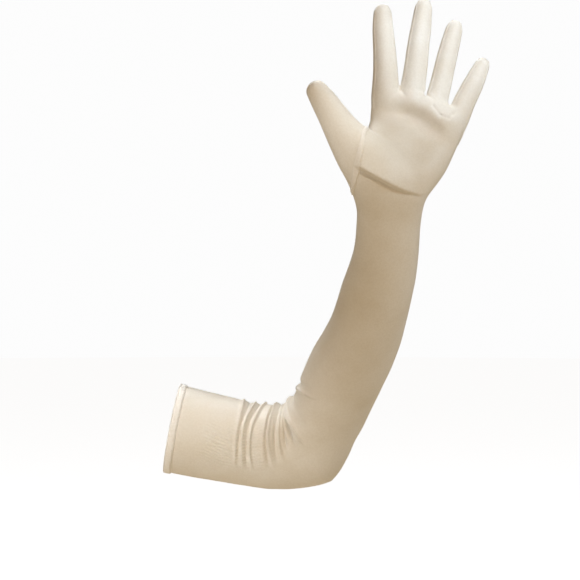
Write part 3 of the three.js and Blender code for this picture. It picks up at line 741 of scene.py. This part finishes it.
def hem_band():
    """The turned hem: one strip of cloth folded over the edge, with fine gathers and a stitched line."""
    columns = 300
    angle = np.arange(columns) * 360 / columns
    profile = []
    for k in range(25):
        t = k / 24
        s = 0.8 + (HEM - 0.3) * t
        top = 0.95 * (1 - (2 * abs(t - 0.47)) ** 6) - 0.30 * math.exp(-(((t - 0.84) / 0.06) ** 2))
        profile.append((s, top))
    for k in range(5):
        t = k / 4
        profile.append((HEM + 0.5 - 0.1 * t, -0.2 - 0.7 * t))
    for k in range(6):
        t = k / 5
        profile.append((HEM + 0.2 - (HEM - 0.3) * t, -1.0))
    for k in range(1, 7):
        a = math.pi * (0.5 + k / 7)
        profile.append((0.8 + 0.8 * math.cos(a), -0.02 - 0.98 * math.sin(a)))
    profile = np.array(profile)
    rows = len(profile)
    s = np.repeat(profile[:, 0], columns)
    lift = np.repeat(profile[:, 1], columns)
    th = np.tile(angle, rows)
    cos, sin = np.cos(np.radians(th)), np.sin(np.radians(th))
    r = arm.radius(s, cos, sin)
    gather = 0.10 * np.sin(np.radians(th) * 88 + 1.2 * np.sin(np.radians(th) * 7)) * np.exp(-(((s - 3.6) / 2.6) ** 2))
    gather *= (lift > 0.2)
    way = arm.at(arm.radial, s) * cos[:, None] + arm.at(arm.palmar, s) * sin[:, None]
    p = arm.at(arm.centre, s) + way * (r + lift + gather)[:, None]
    f = tube_faces(rows, columns)
    a = (rows - 1) * columns + np.arange(columns)
    b = np.roll(a, -1)
    c = np.arange(columns)
    d = np.roll(c, -1)
    f = np.vstack([f, np.stack([a, b, d], 1), np.stack([a, d, c], 1)])
    return p, f


points, faces = hem_band()
hem = piece("hem", points, faces, hem_cloth_painted_highlight, "hem", "hem_band")


# The welt of a seam in section: across in half widths, and how far it stands up in mm.
WELT = np.array([(-1.1, -0.3), (-0.9, 0.18), (-0.45, 0.44), (0, 0.52), (0.45, 0.44), (0.9, 0.18), (1.1, -0.3)])
STRIP = np.array([(-1.03, -0.4), (-1, 0.3), (-0.88, 0.8), (-0.6, 0.9), (0, 0.7), (0.6, 0.9), (0.88, 0.8), (1, 0.3), (1.03, -0.4)])
# The strip of cloth round the base of the thumb: x, z, half width, and the side of the hand, or its y.
THUMB_SEAM = [
    (168.6, 254.0, 1.5, -107.0), (165.0, 250.3, 1.8, None), (162.0, 235.4, 2.2, None), (159.3, 222.5, 2.8, None),
    (157.9, 211.0, 2.3, -118.0), (158.2, 203.5, 1.7, -106.0), (160.5, 211.0, 1.5, -96.0), (163.0, 227.0, 1.5, -98.0),
    (167.5, 243.0, 1.5, -98.5),
]


def solid(points, rows, columns, loop=False):
    """A tube's points and outward faces, with its two ends closed unless it is a loop."""
    faces = tube_faces(rows, columns)
    if loop:
        j = np.arange(columns)
        k = (j + 1) % columns
        a = (rows - 1) * columns
        faces = np.vstack([faces, np.stack([a + j, a + k, k], 1), np.stack([a + j, k, j], 1)])
    else:
        fan = np.array([(0, i + 1, i) for i in range(1, columns - 1)])
        faces = np.vstack([faces, fan, fan[:, ::-1] + (rows - 1) * columns])
    a, b, c = (points[faces[:, i]] for i in range(3))
    if (np.cross(a, b) * c).sum() < 0:
        faces = faces[:, ::-1]
    return points, faces


def puckered(path, pitch=2.3, depth=0.22):
    """A welt's rise along its path: pulled down a little at each stitch."""
    s = np.concatenate([[0], np.cumsum(np.linalg.norm(np.diff(path, axis=0), axis=1))])
    return s, (1 - depth + depth * np.cos(2 * math.pi * s / pitch))


def spaced(path, step):
    """Points at an even step along a line."""
    s = np.concatenate([[0], np.cumsum(np.linalg.norm(np.diff(path, axis=0), axis=1))])
    at = np.linspace(0, s[-1], max(8, int(s[-1] / step)))
    return np.stack([np.interp(at, s, c) for c in path.T], 1)


def hand_welt(path, half, section, loop=False, step=0.6, depth=0.22):
    """A raised seam on the hand along a path near its surface."""
    if loop:
        path = np.vstack([path[-12:], path, path[:12]])
        half = np.concatenate([half[-12:], half, half[:12]])
    path, out = onto_hand(path, 4)
    side = unit(np.cross(out, unit(np.gradient(path, axis=0))))
    if loop:
        path, half, side = path[12:-12], half[12:-12], side[12:-12]
    s, rise = puckered(path, depth=depth)
    ends = 1.0 if loop else smoothstep(0, 3, s) * smoothstep(0, 3, s[-1] - s)
    n, m = len(path), len(section)
    base = path[:, None] + side[:, None] * (section[None, :, :1] * half[:, None, None])
    base, out = onto_hand(base.reshape(-1, 3), 2)
    up = np.where(section[None, :, 1] > 0, section[None, :, 1] * (rise * ends)[:, None] - 0.12 * (1 - ends * np.ones(n))[:, None], section[None, :, 1])
    return solid(base + out * up.reshape(-1)[:, None], n, m, loop)


def finger_lines():
    """Lines of the seams along both sides of each finger, from web to tip."""
    for name, limb in fingers.items():
        keep = np.arange(0, len(limb.s))
        for side in (1, -1):
            for lean in (34, -34):
                fall = np.radians(lean) * np.ones(len(keep))
                w = limb.size[keep, 0]
                d = limb.size[keep, 1] if lean > 0 else limb.size[keep, 2]
                path = (limb.centre[keep] + limb.radial[keep] * (side * w * np.cos(fall))[:, None]
                        + limb.palmar[keep] * (d * np.sin(fall))[:, None])
                path = path[hand_distance(path) > -1.2]
                turn = np.radians(np.arange(12, 82, 10.0))
                w, d = limb.size[-1, 0], limb.size[-1, 1 if lean > 0 else 2]
                cap = (limb.centre[-1] + limb.radial[-1] * (side * w * np.cos(turn) * math.cos(math.radians(lean)))[:, None]
                       + limb.palmar[-1] * (d * np.cos(turn) * math.sin(math.radians(lean)))[:, None]
                       + limb.along[-1] * (limb.end * np.sin(turn))[:, None])
                yield spaced(np.vstack([path, cap]), 0.6)


def sleeve_welt(angle, first, last, half):
    """A raised seam along the sleeve at an angle round it."""
    s = np.arange(first, last, 0.7)
    turn = angle + 4 * np.sin(s / 70)
    p, way = sleeve_cloth(s, turn)
    reach = np.linalg.norm(p - arm.at(arm.centre, s), axis=1)
    rise = puckered(p)[1]
    n, m = len(s), len(WELT)
    side = turn[:, None] + np.degrees(WELT[None, :, 0] * half / reach[:, None])
    p, way = sleeve_cloth(np.repeat(s, m), side.reshape(-1))
    up = np.where(WELT[None, :, 1] > 0, WELT[None, :, 1] * rise[:, None], WELT[None, :, 1])
    return solid(p + way * up.reshape(-1)[:, None], n, m)


def joined(parts):
    points, faces, start = [], [], 0
    for p, f in parts:
        points.append(p)
        faces.append(f + start)
        start += len(p)
    return np.vstack(points), np.vstack(faces)


def thumb_seam():
    table = THUMB_SEAM
    x, z = np.array([r[0] for r in table]), np.array([r[1] for r in table])
    y = dropped(x, z, -1)[:, 1]
    y = np.array([r[3] if r[3] is not None else y[i] for i, r in enumerate(table)])
    knots = np.column_stack([x, y, z, [r[2] for r in table]])
    n = len(knots)
    ring = np.vstack([knots[-2:], knots, knots[:3]])
    line = curve(ring, np.linspace(2, 2 + n, 30 * n + 1)[:-1])
    closed = spaced(np.vstack([line, line[:1]]), 0.8)[:-1]
    return hand_welt(closed[:, :3], closed[:, 3], STRIP, loop=True, depth=0.06)


SEAM = 206.0  # angle round the sleeve of its long seam, on the side towards the elbow and the back


def hand_side():
    """The long seam's line on along the hand's edge, as far as the little finger."""
    s = np.arange(WRIST - 5, 430.0, 0.6)
    a = np.radians(SEAM + 4 * np.sin(s / 70) - 20 * smoothstep(WRIST, 420, s))
    cos, sin = np.cos(a), np.sin(a)
    way = arm.at(arm.radial, s) * cos[:, None] + arm.at(arm.palmar, s) * sin[:, None]
    return arm.at(arm.centre, s) + way * arm.radius(s, cos, sin)[:, None]


parts = [hand_welt(line, np.full(len(line), 0.42), WELT) for line in finger_lines()]
line = hand_side()
parts.append(hand_welt(line, np.full(len(line), 0.5), WELT))
parts.append(sleeve_welt(SEAM, HEM + 0.3, WRIST - 1, 0.5))
points, faces = joined(parts)
seams = piece("seams", points, faces, cloth, "satin")
points, faces = thumb_seam()
thumb_strip = piece("thumb_seam", points, faces, strip_cloth_painted_highlight, "satin")


def hem_stitches(count=104):
    """Short stitches of thread, in the groove by the hem's inner edge."""
    parts = []
    u = np.linspace(-1, 1, 7)
    place = 0.8 + (HEM - 0.3) * 0.84
    for i in range(count):
        middle = i * 360 / count
        angle = middle + u * 1.15
        s = place + 0.12 * u
        cos, sin = np.cos(np.radians(angle)), np.sin(np.radians(angle))
        way = arm.at(arm.radial, s) * cos[:, None] + arm.at(arm.palmar, s) * sin[:, None]
        lift = 0.70 + 0.16 * (1 - u**2)
        base = arm.at(arm.centre, s) + way * (arm.radius(s, cos, sin) + lift)[:, None]
        thick = 0.24 * np.sqrt(np.clip(1.08 - u**2, 0.05, 1))
        turn = np.radians(np.arange(6) * 60.0)
        ring = way[:, None] * np.cos(turn)[None, :, None] + arm.at(arm.along, s)[:, None] * np.sin(turn)[None, :, None]
        parts.append(solid((base[:, None] + ring * thick[:, None, None]).reshape(-1, 3), 7, 6))
    return joined(parts)


points, faces = hem_stitches()
stitches = piece("hem_stitches", points, faces, thread, "hem")

# ------------------------------------------------------------------ stage, light and camera
scene = bpy.context.scene
scene.view_settings.view_transform = "Standard"
scene.view_settings.look = "None"


def plain(name, colour, glow=0.0):
    material = bpy.data.materials.new(name)
    material.use_nodes = True
    shader = material.node_tree.nodes["Principled BSDF"]
    shader.inputs["Base Color"].default_value = (*colour, 1)
    shader.inputs["Roughness"].default_value = 0.9
    if glow:
        shader.inputs["Emission Color"].default_value = (1, 1, 1, 1)
        shader.inputs["Emission Strength"].default_value = glow
    return material


def sheet(name, verts, faces, material):
    mesh = bpy.data.meshes.new(name)
    mesh.from_pydata(verts, [], faces)
    obj = bpy.data.objects.new(name, mesh)
    scene.collection.objects.link(obj)
    mesh.materials.append(material)
    return obj


FLOOR = -0.34
floor = sheet("floor", [(-9, -9, FLOOR), (9, -9, FLOOR), (9, 9, FLOOR), (-9, 9, FLOOR)], [(0, 1, 2, 3)],
              plain("pale_floor", (0.30, 0.31, 0.33), 0.95))
floor.visible_diffuse = floor.visible_glossy = False

# The studio's own soft fill is warm and dim; the lamps above and in front are nearly white.
world = bpy.data.worlds.new("studio")
scene.world = world
world.use_nodes = True
tree = world.node_tree
tree.nodes.clear()
out = tree.nodes.new("ShaderNodeOutputWorld")
fill = tree.nodes.new("ShaderNodeBackground")
height = tree.nodes.new("ShaderNodeSeparateXYZ")
sky = tree.nodes.new("ShaderNodeValToRGB")
spread = tree.nodes.new("ShaderNodeMapRange")
spread.inputs["From Min"].default_value = -1
tree.links.new(tree.nodes.new("ShaderNodeTexCoord").outputs["Generated"], height.inputs["Vector"])
tree.links.new(height.outputs["Z"], spread.inputs["Value"])
tree.links.new(spread.outputs["Result"], sky.inputs["Fac"])
sky.color_ramp.elements[0].position = 0.40
sky.color_ramp.elements[0].color = (0.60, 0.48, 0.33, 1)
sky.color_ramp.elements[1].position = 0.62
sky.color_ramp.elements[1].color = (0.05, 0.03, 0.01, 1)
tree.links.new(sky.outputs["Color"], fill.inputs["Color"])
tree.links.new(fill.outputs["Background"], out.inputs["Surface"])


def surround(radius):
    """A plain white wall all round that only the camera sees, so that it casts no light of its own."""
    verts, faces = [], []
    rings, columns = 12, 32
    for i in range(rings):
        a = math.radians(-8 + 98 * i / (rings - 1))
        for j in range(columns):
            b = 2 * math.pi * j / columns
            verts.append((radius * math.cos(a) * math.cos(b), radius * math.cos(a) * math.sin(b), radius * math.sin(a)))
    for i in range(rings - 1):
        for j in range(columns):
            k = (j + 1) % columns
            faces.append((i * columns + j, i * columns + k, (i + 1) * columns + k, (i + 1) * columns + j))
    material = bpy.data.materials.new("white_surround")
    material.use_nodes = True
    t = material.node_tree
    t.nodes.clear()
    o = t.nodes.new("ShaderNodeOutputMaterial")
    e = t.nodes.new("ShaderNodeEmission")
    e.inputs["Color"].default_value = (1, 1, 1, 1)
    e.inputs["Strength"].default_value = 0.98
    t.links.new(e.outputs["Emission"], o.inputs["Surface"])
    obj = sheet("surround", verts, faces, material)
    obj.visible_diffuse = obj.visible_glossy = obj.visible_transmission = obj.visible_shadow = False
    return obj


surround(8.5)


def lamp(name, place, target, size, power, colour, cone=None, blend=0.7):
    """A soft round light; with a cone in degrees, a soft-edged spot."""
    data = bpy.data.lights.new(name, "SPOT" if cone else "AREA")
    if cone:
        data.spot_size = math.radians(cone)
        data.spot_blend = blend
        data.shadow_soft_size = size / 2
    else:
        data.shape = "DISK"
        data.size = size
    data.energy = power
    data.color = colour
    obj = bpy.data.objects.new(name, data)
    obj.location = place
    obj.rotation_euler = (Vector(target) - Vector(place)).to_track_quat("-Z", "Y").to_euler()
    scene.collection.objects.link(obj)
    return obj


middle = (0.15, -0.05, 0.15)
lamp("top", (0.10, 0.70, 1.80), middle, 0.8, 15, (0.92, 0.97, 1.0))
lamp("side", (1.20, -0.80, 1.50), middle, 0.6, 14, (0.86, 0.95, 1.0))
lamp("front", (0.15, -1.50, 1.60), middle, 0.8, 9.5, (1.0, 0.70, 0.40))
lamp("cuff_top", (-0.10, 0.55, 1.60), (0.055, 0.0, 0.0), 0.3, 53, (0.96, 1.0, 1.0), cone=9)
lamp("cuff_left", (-0.75, -0.85, 0.45), (0.055, 0.0, 0.0), 0.2, 30, (1.0, 0.98, 0.96), cone=10.5)
lamp("cuff_spot", (-0.45, -1.05, -0.12), (0.03, 0.0, -0.012), 0.25, 21, (0.97, 1.0, 0.97), cone=8.5)
lamp("finger_spot", (0.40, -1.30, 0.80), (0.239, -0.08, 0.339), 0.06, 38, (0.65, 0.81, 1.0), cone=7.1, blend=0.36)
lamp("thumb_spot", (-0.60, -1.00, 0.40), (0.126, -0.115, 0.243), 0.04, 11, (0.90, 0.95, 1.0), cone=4.4, blend=0.6)
lamp("heel_spot", (-0.10, -0.80, 1.25), (0.156, -0.12, 0.229), 0.04, 20, (0.90, 0.97, 1.0), cone=3.3, blend=0.6)

camera = bpy.data.cameras.new("camera")
camera.sensor_width = 36
camera.lens = 1396.6 / 580 * 36
camera.clip_start = 0.05
camera.clip_end = 60
view = bpy.data.objects.new("camera", camera)
view.location = (0.1056, -1.25, 0.1235)
view.rotation_euler = (math.radians(90), 0, 0)
scene.collection.objects.link(view)
scene.camera = view
